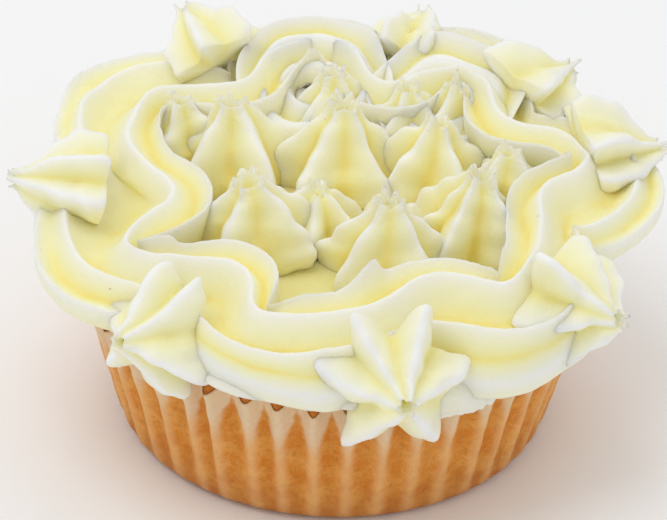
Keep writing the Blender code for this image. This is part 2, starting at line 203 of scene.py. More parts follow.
class Wire:
    """A socket in a material; arithmetic on it adds Math nodes."""

    def __init__(self, finish, socket):
        self.finish = finish
        self.socket = socket

    def maths(self, operation, first, second):
        return self.finish.add("ShaderNodeMath", {"operation": operation}, {0: first, 1: second})

    def __add__(self, other):
        return self.maths("ADD", self, other)

    def __sub__(self, other):
        return self.maths("SUBTRACT", self, other)

    def __mul__(self, other):
        return self.maths("MULTIPLY", self, other)

    def __rsub__(self, other):
        return self.maths("SUBTRACT", other, self)

    __radd__ = __add__
    __rmul__ = __mul__


class Finish:
    """One procedural material, built round a Principled shader."""

    def __init__(self, name, **fixed):
        self.material = bpy.data.materials.new(name)
        self.material.use_nodes = True
        self.tree = self.material.node_tree
        self.shader = self.tree.nodes["Principled BSDF"]
        for socket, value in fixed.items():
            self.shader.inputs[socket.replace("_", " ")].default_value = value
        self.place = self.add("ShaderNodeTexCoord", output="Object")

    def add(self, kind, settings=None, inputs=None, output=0):
        """A node of one kind: its settings (or a ramp's stops) first, then its sockets."""
        node = self.tree.nodes.new(kind)
        for setting, value in (settings or {}).items():
            if setting == "stops":
                ramp = node.color_ramp
                for index, (position, colour) in enumerate(value):
                    stop = ramp.elements[index] if index < 2 else ramp.elements.new(position)
                    stop.position = position
                    stop.color = (*colour, 1.0)
            else:
                setattr(node, setting, value)
        for socket, value in (inputs or {}).items():
            self.feed(node.inputs[socket], value)
        return Wire(self, node.outputs[output])

    def feed(self, socket, value):
        if isinstance(value, Wire):
            self.tree.links.new(value.socket, socket)
        else:
            socket.default_value = value

    def shade(self, name):
        """A value kept on the mesh."""
        return self.add("ShaderNodeAttribute", {"attribute_name": name}, output="Fac")

    def noise(self, size, detail=3.0, rough=0.55):
        """Even-sided noise with features about `size` metres across."""
        settings = {"Scale": 1.0 / size, "Detail": detail, "Roughness": rough}
        return self.add("ShaderNodeTexNoise", inputs={"Vector": self.place, **settings})

    def step(self, value, low, high):
        """0 below low, 1 above high, with a smooth change between."""
        return self.add(
            "ShaderNodeMapRange", {"interpolation_type": "SMOOTHSTEP"},
            {"Value": value, "From Min": low, "From Max": high},
        )

    def mix(self, factor, first, second):
        """A colour between two others."""
        first = first if isinstance(first, Wire) else (*first, 1.0)
        second = second if isinstance(second, Wire) else (*second, 1.0)
        return self.add(
            "ShaderNodeMix", {"data_type": "RGBA"}, {"Factor": factor, 6: first, 7: second}, 2
        )

    def relief(self, height, depth):
        """Small relief of a depth in metres."""
        bump = self.add("ShaderNodeBump", inputs={"Height": height, "Distance": depth})
        self.feed(self.shader.inputs["Normal"], bump)


def case_finish():
    """Greaseproof paper over brown crust: mottled brown where it lies on the cake, pale where
    it stands off, with a painted highlight down each ridge, painted shade in the creases, and
    redder at the foot."""
    made = Finish("case_paper", Specular_IOR_Level=0.18)
    clear = made.shade("clear")
    ridge = made.shade("ridge")
    rise = made.shade("rise")
    coarse = made.noise(2.6 * MM, 4.0)
    fine = made.noise(0.55 * MM, 3.0, 0.7)
    crust = made.mix(made.step(coarse, 0.34, 0.66), CRUST_BROWN, CRUST_GOLD)
    crust = made.mix(made.step(fine, 0.50, 0.70) * 0.60, crust, CRUST_SPECK)
    crust = made.mix(made.step(fine, 0.48, 0.28) * 0.40, crust, PAPER_FIBRE)
    foot = made.step(rise + coarse * 0.35, 0.60, 0.14)
    crust = made.mix(foot * 0.58, crust, CRUST_FOOT)
    # Painted highlight: a lighter line drawn down each ridge, stronger towards the rim.
    line = made.step(ridge + fine * 0.5 + coarse * 0.5, 0.55, 1.55)
    crust = made.mix(line * (0.32 + rise * 0.45), crust, PAPER_RIDGE_HIGHLIGHT)
    # Painted shade: the creases drawn darker brown.
    crease = made.step(ridge + fine * 0.3, 0.34, 0.06)
    crust = made.mix(crease * 0.32, crust, CRUST_CREASE_SHADE)
    paper = made.mix(made.step(fine, 0.40, 0.72) * 0.30, PAPER_PALE, PAPER_GREASED)
    edge = made.step(clear + coarse * 0.30 - 0.15, 0.12, 0.88)
    made.feed(made.shader.inputs["Base Color"], made.mix(edge, paper, crust))
    made.feed(made.shader.inputs["Roughness"], 0.78 - edge * 0.12)
    made.relief(coarse * 0.3 + fine * 0.7, 0.06 * MM)
    return made.material


def folded(outward, inward):
    """The rows of an outer face followed by those of the inner face, back down again."""
    return np.concatenate([outward, inward[::-1]])


outer, case_ridge, case_clear = case_sheet(0.0)
inner = case_sheet(CASE_PAPER)[0]
case_rise = outer[..., 2] / CASE_HEIGHT
case = skin(
    "case", folded(outer, inner), ends=[(0.0, 0.0, 0.0), (0.0, 0.0, CASE_PAPER)],
    clear=folded(case_clear, case_clear), ridge=folded(case_ridge, case_ridge),
    rise=folded(case_rise, case_rise),
)
case.data.materials.append(case_finish())
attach(case, "root")
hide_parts("paper_case")


# ---- Sponge -----------------------------------------------------------------------------
# A plain sponge baked in the case until it stood above the rim: a soft crumb under a thin
# orange-brown crust, of which only a strip shows between the paper and the icing.

sponge_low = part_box("sponge")[0]
LEAN = 0.075                          # the whole top rises by this share towards the back
SPONGE_LEVEL = 22.3 * MM              # its top in the middle
SPONGE_SWELL = 2.2 * MM               # radius of the rounded edge that stands over the rim
SPONGE_OVERHANG = 0.45 * MM           # how far that edge stands out beyond the rim
SPONGE_GAP = 0.10 * MM
SPONGE_EDGE_ROWS = 16
SPONGE_TOP_ROWS = 6
SPONGE_BROWN = (0.60, 0.17, 0.02)
SPONGE_GOLD = (0.76, 0.31, 0.05)
SPONGE_SPECK = (0.33, 0.085, 0.012)


def sponge_sheet():
    """Rings up the inside of the case, which the cake fills into its flutes, then round a
    quarter circle over the rim and in over the top, roughened by open crumb.  The round edge
    keeps to the flutes where it leaves the rim."""
    wall = case_sheet(CASE_PAPER + SPONGE_GAP)[0][CASE_FOOT_ROWS:]
    wall[..., 2] = np.maximum(wall[..., 2], sponge_low.z)
    rim = wall[-1]
    angles = np.arctan2(rim[:, 1], rim[:, 0])
    over = np.linspace(-0.12, 0.5, SPONGE_EDGE_ROWS)[:, None] * math.pi
    level = SPONGE_LEVEL - SPONGE_SWELL + SPONGE_SWELL * np.sin(over)
    radius = CASE_RIM_RADIUS + SPONGE_OVERHANG - SPONGE_SWELL * (1.0 - np.cos(over))
    level = np.concatenate([level, np.full((SPONGE_TOP_ROWS, 1), SPONGE_LEVEL)])
    radius = np.concatenate([radius, radius[-1] * np.linspace(0.9, 0.1, SPONGE_TOP_ROWS)[:, None]])
    crown = rings(angles, np.repeat(radius, len(angles), axis=1), level)
    crown[..., 2] += LEAN * crown[..., 1]
    lowest = rim[:, 2] + 0.04 * MM * np.arange(1, len(crown) + 1)[:, None]
    crown[..., 2] = np.maximum(crown[..., 2], lowest)
    held = 1.0 - smooth_step(crown[..., 2] - rim[:, 2], 0.3 * MM, 2.0 * MM)
    to_rim = np.hypot(rim[:, 0], rim[:, 1]) / np.hypot(crown[..., 0], crown[..., 1])
    crown[..., :2] *= (1.0 + held * (to_rim - 1.0))[..., None]
    sheet = np.concatenate([wall, crown])
    reach = np.hypot(sheet[..., 0], sheet[..., 1])
    crumb = waver(sheet, 2.4 * MM, 21) * 0.12 * MM + waver(sheet, 0.9 * MM, 22, 30) * 0.09 * MM
    bare = smooth_step(sheet[..., 2], CASE_HEIGHT - 0.2 * MM, CASE_HEIGHT + 0.8 * MM)
    sheet[..., :2] *= (1.0 + bare * crumb / np.maximum(reach, 4 * MM))[..., None]
    return sheet


def sponge_finish():
    """Orange-brown crust with open crumb and darker baked specks."""
    made = Finish("sponge_cake", Roughness=0.85, Specular_IOR_Level=0.25)
    coarse = made.noise(1.8 * MM, 4.0)
    fine = made.noise(0.45 * MM, 4.0, 0.7)
    crust = made.mix(made.step(coarse, 0.35, 0.65), SPONGE_BROWN, SPONGE_GOLD)
    crust = made.mix(made.step(fine, 0.52, 0.70) * 0.6, crust, SPONGE_SPECK)
    made.feed(made.shader.inputs["Base Color"], crust)
    made.feed(made.shader.inputs["Roughness"], 0.7 + fine * 0.25)
    made.relief(coarse * 0.4 + fine * 0.6, 0.35 * MM)
    return made.material


sponge = skin(
    "sponge_cake", sponge_sheet(),
    ends=[(0.0, 0.0, sponge_low.z), (0.0, 0.0, SPONGE_LEVEL)],
)
sponge.data.materials.append(sponge_finish())
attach(sponge, "root")
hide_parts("sponge")


# ---- Buttercream bed --------------------------------------------------------------------
# Buttercream spread over the sponge with a knife as a smooth layer.  Its lip hangs outside
# the rim, lower on the right than on the left, with a torn lower edge.

bed_low, bed_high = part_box("cream_bed")
BED_LEVEL = 25.0 * MM
BED_RADIUS = 0.5 * (bed_high.x - bed_low.x)
BED_COLUMNS = 520
BED_EDGE = 0.55 * MM                  # radius of the lip's rounded lower edge
BED_CORNER = 1.4 * MM                 # height of the rounded corner round its top
BED_CORNER_REACH = 2.4 * MM           # and its width
BED_TAPER = 0.4 * MM                  # how far the side draws in up to that corner
# the lip's lower edge: direction, height, and distance from the middle
BED_LIP = (
    (0.0, 18.6, 31.2), (40.0, 19.6, 31.6), (90.0, 20.2, 31.6), (150.0, 20.0, 31.4),
    (200.0, 21.3, 31.0), (228.0, 21.9, 30.7), (246.0, 21.6, 30.6), (262.0, 21.0, 30.8),
    (276.0, 20.0, 31.1), (287.0, 17.6, 31.4), (305.0, 17.4, 31.6), (309.0, 19.2, 31.2),
    (316.0, 19.7, 31.4), (338.0, 18.4, 31.6),
)


def around(table, column, angles):
    """A column of a table of directions, eased from one direction to the next."""
    table = np.array(table)
    turn = np.zeros(table.shape[1])
    turn[0] = 360.0
    table = np.concatenate([table[-1:] - turn, table, table[:1] + turn])
    degrees = np.degrees(angles) % 360.0
    return np.interp(degrees, table[:, 0], table[:, column])


def bed_sheet():
    """Rings from under the layer, down behind the lip, round its edge, up its face and in
    over the top."""
    angles = np.arange(BED_COLUMNS) * math.tau / BED_COLUMNS
    low = around(BED_LIP, 1, angles) * MM
    out = around(BED_LIP, 2, angles) * MM
    torn = rings(angles, out, low)
    ragged = np.abs(waver(torn, 1.3 * MM, 31, 30)) * 0.22 * MM + waver(torn, 6 * MM, 32) * 0.18 * MM
    low = low + ragged
    behind = CASE_RIM_RADIUS + 0.9 * MM
    side = BED_RADIUS - BED_TAPER
    corner = BED_LEVEL - BED_CORNER
    inside = [
        (behind - 4.5 * MM, SPONGE_LEVEL + 0.3 * MM),
        (behind - 0.6 * MM, SPONGE_LEVEL - 0.4 * MM),
        (behind, low + 0.6 * MM),
    ]
    lip = [
        (out - BED_EDGE + BED_EDGE * math.cos(bend), low + BED_EDGE + BED_EDGE * math.sin(bend))
        for bend in np.linspace(-0.5, 0.15, 6) * math.pi
    ]
    wall = [
        (out + (side - out) * share + 0.35 * MM * math.sin(math.pi * share),
         low + BED_EDGE + (corner - low - BED_EDGE) * share)
        for share in np.linspace(0.0, 1.0, 16)[1:]
    ]
    crown = [
        (side - BED_CORNER_REACH * (1.0 - math.cos(turn)), corner + BED_CORNER * math.sin(turn))
        for turn in np.linspace(0.0, 0.5, 7)[1:] * math.pi
    ]
    top = [((side - BED_CORNER_REACH) * share, BED_LEVEL) for share in (0.9, 0.7, 0.45, 0.2)]
    stack = inside + lip + wall + crown + top
    radius, level = (
        np.array([np.broadcast_to(part[column], angles.shape) for part in stack])
        for column in (0, 1)
    )
    sheet = rings(angles, radius, level)
    sheet[..., 2] += LEAN * sheet[..., 1] * smooth_step(level, 19 * MM, BED_LEVEL)
    spread = waver(sheet, 11 * MM, 33) * 0.30 * MM + waver(sheet, 3.5 * MM, 34) * 0.06 * MM
    sheet[..., :2] *= (1.0 + spread / np.maximum(radius, 8 * MM))[..., None]
    # Painted shade: inside the rim, among the stars, the layer is drawn in the deeper yellow of the
    # creases; its outer lip is drawn paler.
    outside = smooth_step(radius, BED_RADIUS - 3 * MM, BED_RADIUS - 1 * MM)
    return sheet, 0.12 + 0.62 * outside


# buttercream's pale yellow with painted shade and highlight: from deep yellow painted shade at the
# bottom of a crease (0) to an ivory painted highlight on the crest of a ridge (1)
CREAM_SHADE_TO_HIGHLIGHT = (
    (0.0, (0.96, 0.81, 0.26)), (1.0, (0.95, 0.948, 0.905)), (0.14, (0.96, 0.875, 0.43)),
    (0.36, (0.955, 0.91, 0.59)), (0.70, (0.948, 0.926, 0.74)),
)
CREAM_SPECK = (0.55, 0.33, 0.12)


def cream_finish():
    """Buttercream: pale yellow, with a painted highlight in ivory on the ridges and painted
    shade in deeper yellow in the creases, faintly grainy, with small air holes and the odd
    brown speck."""
    made = Finish(
        "buttercream", Specular_IOR_Level=0.40, Subsurface_Weight=0.60,
        Subsurface_Scale=0.0030,
    )
    made.shader.inputs["Subsurface Radius"].default_value = (1.0, 0.92, 0.68)
    ridge = made.shade("ridge")
    cloud = made.noise(5.0 * MM, 3.0)
    grain = made.noise(0.42 * MM, 3.0, 0.65)
    # the ramp reads the painted shade value kept on the mesh, with a little random unevenness in tone
    height = ridge + (cloud - 0.5) * 0.28
    colour = made.add("ShaderNodeValToRGB", {"stops": CREAM_SHADE_TO_HIGHLIGHT}, {"Fac": height})
    speck = made.add(
        "ShaderNodeTexVoronoi", inputs={"Vector": made.place, "Scale": 1.0 / (4.2 * MM)},
        output="Distance",
    )
    chosen = made.step(made.noise(9.0 * MM, 1.0), 0.52, 0.56)
    colour = made.mix(made.step(speck, 0.040, 0.022) * chosen * 0.6, colour, CREAM_SPECK)
    made.feed(made.shader.inputs["Base Color"], colour)
    made.feed(made.shader.inputs["Roughness"], 0.40 + grain * 0.22)
    holes = made.add(
        "ShaderNodeTexVoronoi", inputs={"Vector": made.place, "Scale": 1.0 / (1.1 * MM)},
        output="Distance",
    )
    torn = made.shade("torn")
    dent = made.step(holes, 0.30, 0.10) * (torn * 0.8 + 0.05)
    made.relief(grain * (torn * 1.6 + 0.35) - dent * 1.2, 0.13 * MM)
    return made.material


cream = cream_finish()
bed_points, bed_shade = bed_sheet()
bed = skin(
    "cream_layer", bed_points,
    ends=[(0.0, 0.0, SPONGE_LEVEL + 0.3 * MM), (0.0, 0.0, BED_LEVEL)],
    ridge=bed_shade, torn=np.full(bed_shade.shape, 0.25),
)
bed.data.materials.append(cream)
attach(bed, "root")
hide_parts("cream_bed")


# ---- Piped ring -------------------------------------------------------------------------
# One wavy rope of buttercream piped round the edge with an open star nozzle.  The nozzle's
# teeth leave four fins along it, with hollow faces between them; at each inward turn the
# outer fins are pressed together, and here and there the inner fin has torn into a tip.

# the rope's scallops, for its inner fins and then for its outer ones, which cut across the
# turns more: direction and radius of each notch, and of the crown that follows it
INNER_SCALLOPS = (
    (237.5, 22.8, 252.0, 30.0), (299.0, 24.2, 314.0, 30.4), (352.0, 25.6, 8.0, 31.8),
    (31.0, 24.0, 55.0, 27.4), (73.0, 18.5, 97.0, 28.0), (126.0, 21.0, 152.0, 29.2),
    (194.0, 20.8, 212.0, 30.8),
)
OUTER_SCALLOPS = (
    (230.0, 23.6, 253.0, 28.8), (293.0, 22.6, 313.0, 31.6), (347.0, 25.0, 7.0, 32.2),
    (32.0, 24.0, 59.0, 27.2), (77.0, 18.8, 100.0, 27.0), (123.0, 22.2, 148.0, 30.8),
    (172.0, 25.0, 207.0, 30.2),
)
ROPE_FIRST_STATIONS = 384             # points round the scallops while their corners are eased
ROPE_STATIONS = 900
ROPE_EASING = 14                      # rounds of easing that take the corners off the scallops
ROPE_PINCH = 0.93                     # share of the room beside it that a flank may fill
# its section from the inner foot to the outer: distance across, height, and whether the point is on
# a fin's crest (1), in a hollow (0) or between, which also sets its painted shade, deep yellow in
# the hollows and at the feet and an ivory painted highlight on the crests; the fins are points 2, 4, 6
# and 8
ROPE_SECTION = (
    (-5.4, 24.4, 0.05), (-6.6, 28.6, 0.30), (-6.9, 32.6, 1.0), (-4.7, 30.2, 0.0), (-2.7, 32.7, 1.0),
    (0.7, 28.3, 0.0), (2.7, 30.6, 1.0), (4.5, 28.0, 0.0), (6.3, 29.5, 1.0), (6.2, 26.9, 0.55),
    (4.4, 24.4, 0.25),
)
# how many steps there are from each point of the section to the next
ROPE_STEPS = (5, 7, 9, 9, 15, 9, 8, 8, 8, 6, 5)
ROPE_STEPS_TO_INNER = sum(ROPE_STEPS[:4])      # the crest on the inner side of the wide hollow
ROPE_STEPS_TO_OUTER = sum(ROPE_STEPS[:6])      # and the one on its outer side
# where the inner fin is torn up into a tip: direction, height of the tip, width in degrees
ROPE_TIPS = (
    (290.0, 2.3, 9.0), (324.0, 0.9, 6.0), (12.0, 0.7, 5.0), (226.0, 0.8, 6.0), (172.0, 0.9, 7.0),
    (60.0, 0.7, 7.0), (105.0, 0.9, 7.0),
)
# the outermost fin hangs lower in front and lies closer in, against the side of the cake:
# direction, height of its crest, distance across
ROPE_OUTER_FIN = (
    (0.0, 28.2, 5.4), (30.0, 29.4, 5.6), (57.0, 31.4, 5.9), (90.0, 30.2, 5.8),
    (170.0, 29.6, 5.8), (205.0, 29.4, 6.2), (222.0, 28.2, 5.4), (236.0, 26.8, 4.4),
    (250.0, 25.8, 3.7), (285.0, 25.4, 3.7), (300.0, 25.2, 3.8), (313.0, 24.4, 3.4),
    (330.0, 24.6, 3.7), (345.0, 26.6, 4.6),
)


def even_spacing(lines, count):
    """Closed lines of complex points laid out again at equal steps along the first."""
    shut = [np.append(line, line[0]) for line in lines]
    along = np.concatenate([[0.0], np.cumsum(np.abs(np.diff(shut[0])))])
    steps = np.linspace(0.0, along[-1], count, endpoint=False)
    parts = [(np.interp(steps, along, line.real), np.interp(steps, along, line.imag)) for line in shut]
    return [x + 1j * y for x, y in parts]


def eased(values, rounds, axis=0):
    """A closed run of values with its corners rounded by averaging neighbours."""
    for _ in range(rounds):
        beside = np.roll(values, 1, axis=axis) + np.roll(values, -1, axis=axis)
        values = 0.5 * values + 0.25 * beside
    return values


def scallop_line(scallops):
    """A line in plan that swells from each notch to its crown as a quarter sine and falls to
    the next notch as a quarter cosine."""
    notch, inner, crown, outer = (np.array(column)[:, None] for column in zip(*scallops))
    crown = notch + (crown - notch) % 360.0
    after = crown + (np.roll(notch, -1, axis=0) - crown) % 360.0
    next_inner = np.roll(inner, -1, axis=0)
    part = np.linspace(0.0, 1.0, 40, endpoint=False)
    rising, falling = np.sin(0.5 * math.pi * part), np.cos(0.5 * math.pi * part)
    swell = inner + (outer - inner) * rising
    fall = next_inner + (outer - next_inner) * falling
    direction = np.concatenate([notch + (crown - notch) * part, crown + (after - crown) * part], axis=1)
    radius = np.concatenate([swell, fall], axis=1) * MM
    return (radius * np.exp(1j * np.radians(direction))).reshape(-1)


def rope_lines():
    """The lines that the inner fins and the outer fins follow, station for station."""
    lines = [scallop_line(INNER_SCALLOPS), scallop_line(OUTER_SCALLOPS)]
    lines = [eased(line, ROPE_EASING) for line in even_spacing(lines, ROPE_FIRST_STATIONS)]
    return [eased(line, 6) for line in even_spacing(lines, ROPE_STATIONS)]


def room_beside(line, side):
    """Direction to one side of each point of the line, and the distance that way to where it
    would meet the flank of another stretch: the smallest circle touching here and there."""
    forward = np.roll(line, -1) - np.roll(line, 1)
    out = -1j * side * forward / np.abs(forward)
    apart = line - line[:, None]
    towards = (apart * np.conj(out[:, None])).real
    touching = np.abs(apart) ** 2 / (2.0 * np.maximum(towards, 1e-9))
    room = np.min(np.where(towards > 1e-9, touching, 1.0), axis=1)
    return out, eased(room, 4)


def between_stops(shares, steps, power):
    """Weights that carry values at a section's stops to the points between them.  A face
    leaves a crest steeply and arrives in a hollow gently, by a power of the distance."""
    count = len(shares)
    rows = []
    for stop, number in enumerate(steps):
        after = (stop + 1) % count
        part = np.arange(number) / number
        falling = shares[stop] > shares[after]
        to_after = 1.0 - (1.0 - part) ** power if falling else part ** power
        weight = np.zeros((number, count))
        weight[:, stop] = 1.0 - to_after
        weight[:, after] += to_after
        rows.append(weight)
    return np.concatenate(rows)


def rope_stops(line, outer_line):
    """The section's points at every station: distance across and height.  Fins and hollows
    sway and rise unevenly, the inner fin has its torn tips, and the outermost fin follows its
    own table, with the hollow beside it and the flank below it."""
    across = np.tile(np.array(ROPE_SECTION)[:, 0] * MM, (len(line), 1))
    level = np.tile(np.array(ROPE_SECTION)[:, 1] * MM, (len(line), 1))
    plan = np.stack([line.real, line.imag, np.zeros(len(line))], axis=1)
    for number, crest in enumerate((2, 4, 6, 8)):
        across[:, crest] += waver(plan, 13 * MM, 40 + number) * 0.28 * MM
        level[:, crest] += waver(plan, 10 * MM, 50 + number) * 0.30 * MM
    for hollow in (3, 5, 7):
        across[:, hollow] += waver(plan, 15 * MM, 60 + hollow) * 0.25 * MM
        level[:, hollow] += waver(plan, 12 * MM, 70 + hollow) * 0.22 * MM
    angles = np.angle(outer_line)
    across[:, 8] += eased(around(ROPE_OUTER_FIN, 2, angles), 12) * MM - ROPE_SECTION[8][0] * MM
    level[:, 8] += eased(around(ROPE_OUTER_FIN, 1, angles), 12) * MM - ROPE_SECTION[8][1] * MM
    apart = across[:, 8] - across[:, 6]
    across[:, 7] = across[:, 6] + 0.5 * apart
    level[:, 7] = 0.5 * (level[:, 6] + level[:, 8]) - 0.45 * np.maximum(apart, 0.6 * MM)
    across[:, 9] = across[:, 8] - 0.1 * MM
    level[:, 9] = level[:, 8] - 2.0 * MM
    across[:, 10] = across[:, 8] - 1.9 * MM
    level[:, 10] = np.minimum(level[:, 10], level[:, 9] - 1.2 * MM)
    degrees = np.degrees(np.angle(line)) % 360.0
    for direction, height, width in ROPE_TIPS:
        away = (degrees - direction + 180.0) % 360.0 - 180.0
        lift = np.exp(-((away / np.where(away < 0.0, width, 0.3 * width)) ** 2))
        level[:, 2] += height * MM * lift
        level[:, 1] += 0.4 * height * MM * lift
    return across, level


def pressed_beside(line, across):
    """Points in plan at distances across a line, where a distance is held below the room on
    its side by a fourth-power blend, so that neighbouring flanks press together."""
    out, room_out = room_beside(line, 1)
    room_in = room_beside(line, -1)[1]
    room = np.where(across > 0.0, room_out[:, None], room_in[:, None]) * ROPE_PINCH
    pressed = across / (1.0 + (np.abs(across) / room) ** 4) ** 0.25
    return line[:, None] + pressed * out[:, None], pressed


def rope_sheet():
    """The section carried round the two lines: its inner part follows one, its outer part the
    other, with a smooth change between them across the wide hollow."""
    line, outer_line = rope_lines()
    stops_across, stops_level = rope_stops(line, outer_line)
    crests = np.array(ROPE_SECTION)[:, 2]
    level_weight = between_stops(crests, ROPE_STEPS, 1.55)
    across_weight = between_stops(crests, ROPE_STEPS, 1.0)
    across = eased(stops_across @ across_weight.T, 2, axis=1)
    level = eased(stops_level @ level_weight.T, 2, axis=1)

    plan, pressed = pressed_beside(line, across)
    outer_plan = pressed_beside(outer_line, across)[0]
    plan += smooth_step(across, -0.8 * MM, 2.2 * MM) * (outer_plan - plan)
    sheet = np.stack([plan.real, plan.imag, level + LEAN * plan.imag], axis=2)

    outermost = smooth_step(across, 4.6 * MM, 6.0 * MM) * smooth_step(level, 26 * MM, 28 * MM)
    innermost = smooth_step(-across, 6.2 * MM, 6.9 * MM) * smooth_step(level, 30 * MM, 32 * MM)
    torn = 0.10 + 0.55 * np.maximum(outermost, 0.8 * innermost)
    sheet[..., 2] -= (
        np.abs(waver(sheet, 0.9 * MM, 81, 30)) * 0.11 * MM * torn
        + waver(sheet, 2.6 * MM, 82) * 0.04 * MM
    )

    # Painted shade and highlight: crests drawn ivory, hollows deep yellow.
    ridge = np.tile(eased(level_weight @ crests, 2), (len(line), 1))
    # Painted light: where the wide hollow opens out it is drawn paler, and where flanks are pressed
    # together the icing is drawn in the deeper yellow of painted shade.
    spread = np.abs(plan[:, ROPE_STEPS_TO_OUTER] - plan[:, ROPE_STEPS_TO_INNER])[:, None]
    opened = smooth_step(spread, 5.5 * MM, 9 * MM) * smooth_step(across, -1.0 * MM, 1.6 * MM)
    ridge += 0.32 * (1.0 - ridge) * opened
    squeezed = np.abs(pressed) / np.maximum(np.abs(across), 0.2 * MM)
    ridge *= 0.62 + 0.38 * smooth_step(squeezed, 0.45, 0.95)
    return sheet, ridge, torn


rope_points, rope_ridge, rope_torn = rope_sheet()
rope = skin("piped_ring", rope_points, ridge=rope_ridge, torn=rope_torn)
rope.data.materials.append(cream)
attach(rope, "root")
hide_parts("cream_ring")


# ---- Turned ends of the ring ------------------------------------------------------------
# In the two back scallops the rope was wound round once more before it was cut off, which
# leaves fins nested inside the scallop as a low uneven whorl of the same buttercream.

# each whorl: place in plan, radius, height of its outer fin
WHORLS = ((-3.6, 18.2, 9.4, 31.6), (12.4, 16.4, 9.0, 31.2))
WHORL_COLUMNS = 180
WHORL_FINS = 3
WHORL_FIN_DEPTH = 1.5 * MM
WHORL_SINK = 1.3 * MM                 # from the outer fin down to the middle
WHORL_SLOPE = 0.30                    # it falls by this share towards the front
WHORL_TORN = 0.2


def whorl_sheet(place, radius, level, seed):
    """Rings from the foot up the outside and in to the middle.  The top dips between fins by
    the size of a cosine, sinks evenly towards the middle, and slopes down to the front."""
    angles = np.arange(WHORL_COLUMNS) * math.tau / WHORL_COLUMNS
    wall = np.linspace(0.0, 1.0, 9)[:-1, None]
    inward = np.linspace(0.0, 0.95, 64)[:, None]
    crest = np.abs(np.cos(math.pi * WHORL_FINS * inward)) ** 1.3
    top = level - WHORL_SINK * inward - WHORL_FIN_DEPTH * (1.0 - crest)
    reach = np.concatenate([radius * (0.86 + 0.14 * wall), radius * (1.0 - inward)])
    height = np.concatenate([BED_LEVEL + (level - BED_LEVEL) * wall, top])
    own = rings(angles, np.repeat(reach, WHORL_COLUMNS, axis=1), height)
    own[..., :2] *= 1.0 + 0.05 * waver(own, 11.0 * MM, seed)[..., None]
    risen = smooth_step(height, BED_LEVEL, level - WHORL_FIN_DEPTH)
    own[..., 2] += (waver(own, 8.0 * MM, seed + 1) * 0.22 * MM + WHORL_SLOPE * own[..., 1]) * risen
    own = eased(own, 1) + place + np.array([0.0, 0.0, LEAN * place[1]])
    # Painted shade and highlight: the wall drawn yellower towards its foot, the top yellow in the dips
    # between fins and ivory on their crests.
    ridge = np.concatenate([0.3 + 0.5 * wall, 0.08 + 0.9 * crest])
    return own, np.repeat(ridge, WHORL_COLUMNS, axis=1)


for index, (x, y, radius, level) in enumerate(WHORLS):
    place = np.array([x, y, 0.0]) * MM
    points, whorl_ridge = whorl_sheet(place, radius * MM, level * MM, 500 + 5 * index)
    under = place + np.array([0.0, 0.0, BED_LEVEL])
    whorl = skin(
        f"ring_whorl_{index + 1}", points, ends=[under, points[-1].mean(axis=0)],
        ridge=whorl_ridge, torn=np.full(whorl_ridge.shape, WHORL_TORN),
    )
    whorl.data.materials.append(cream)
    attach(whorl, "root")
    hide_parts("cream_ring")


# ---- Piped stars ------------------------------------------------------------------------
# Single presses of the same nozzle: six fins round a hollow axis, broad at the foot and
# drawn up to torn tips as the nozzle was pulled away.

STAR_FINS = 6
STAR_GAP_POINTS = 22                  # points from one fin to the next
STAR_ROWS = 46
STAR_PIT_ROWS = 8
STAR_PIT_FLOOR = 0.66                 # level of the pit in its tip, as a share of its height


def star_frame(axis, turn):
    """Matrix whose columns are a star's own X, Y and Z directions."""
    axis = np.array(axis) / np.linalg.norm(axis)
    guide = np.array([0.0, 0.0, 1.0]) if abs(axis[2]) < 0.7 else np.array([0.0, 1.0, 0.0])
    side = np.cross(guide, axis)
    side /= np.linalg.norm(side)
    ahead = np.cross(axis, side)
    cosine, sine = math.cos(turn), math.sin(turn)
    return np.stack([cosine * side + sine * ahead, cosine * ahead - sine * side, axis], axis=1)


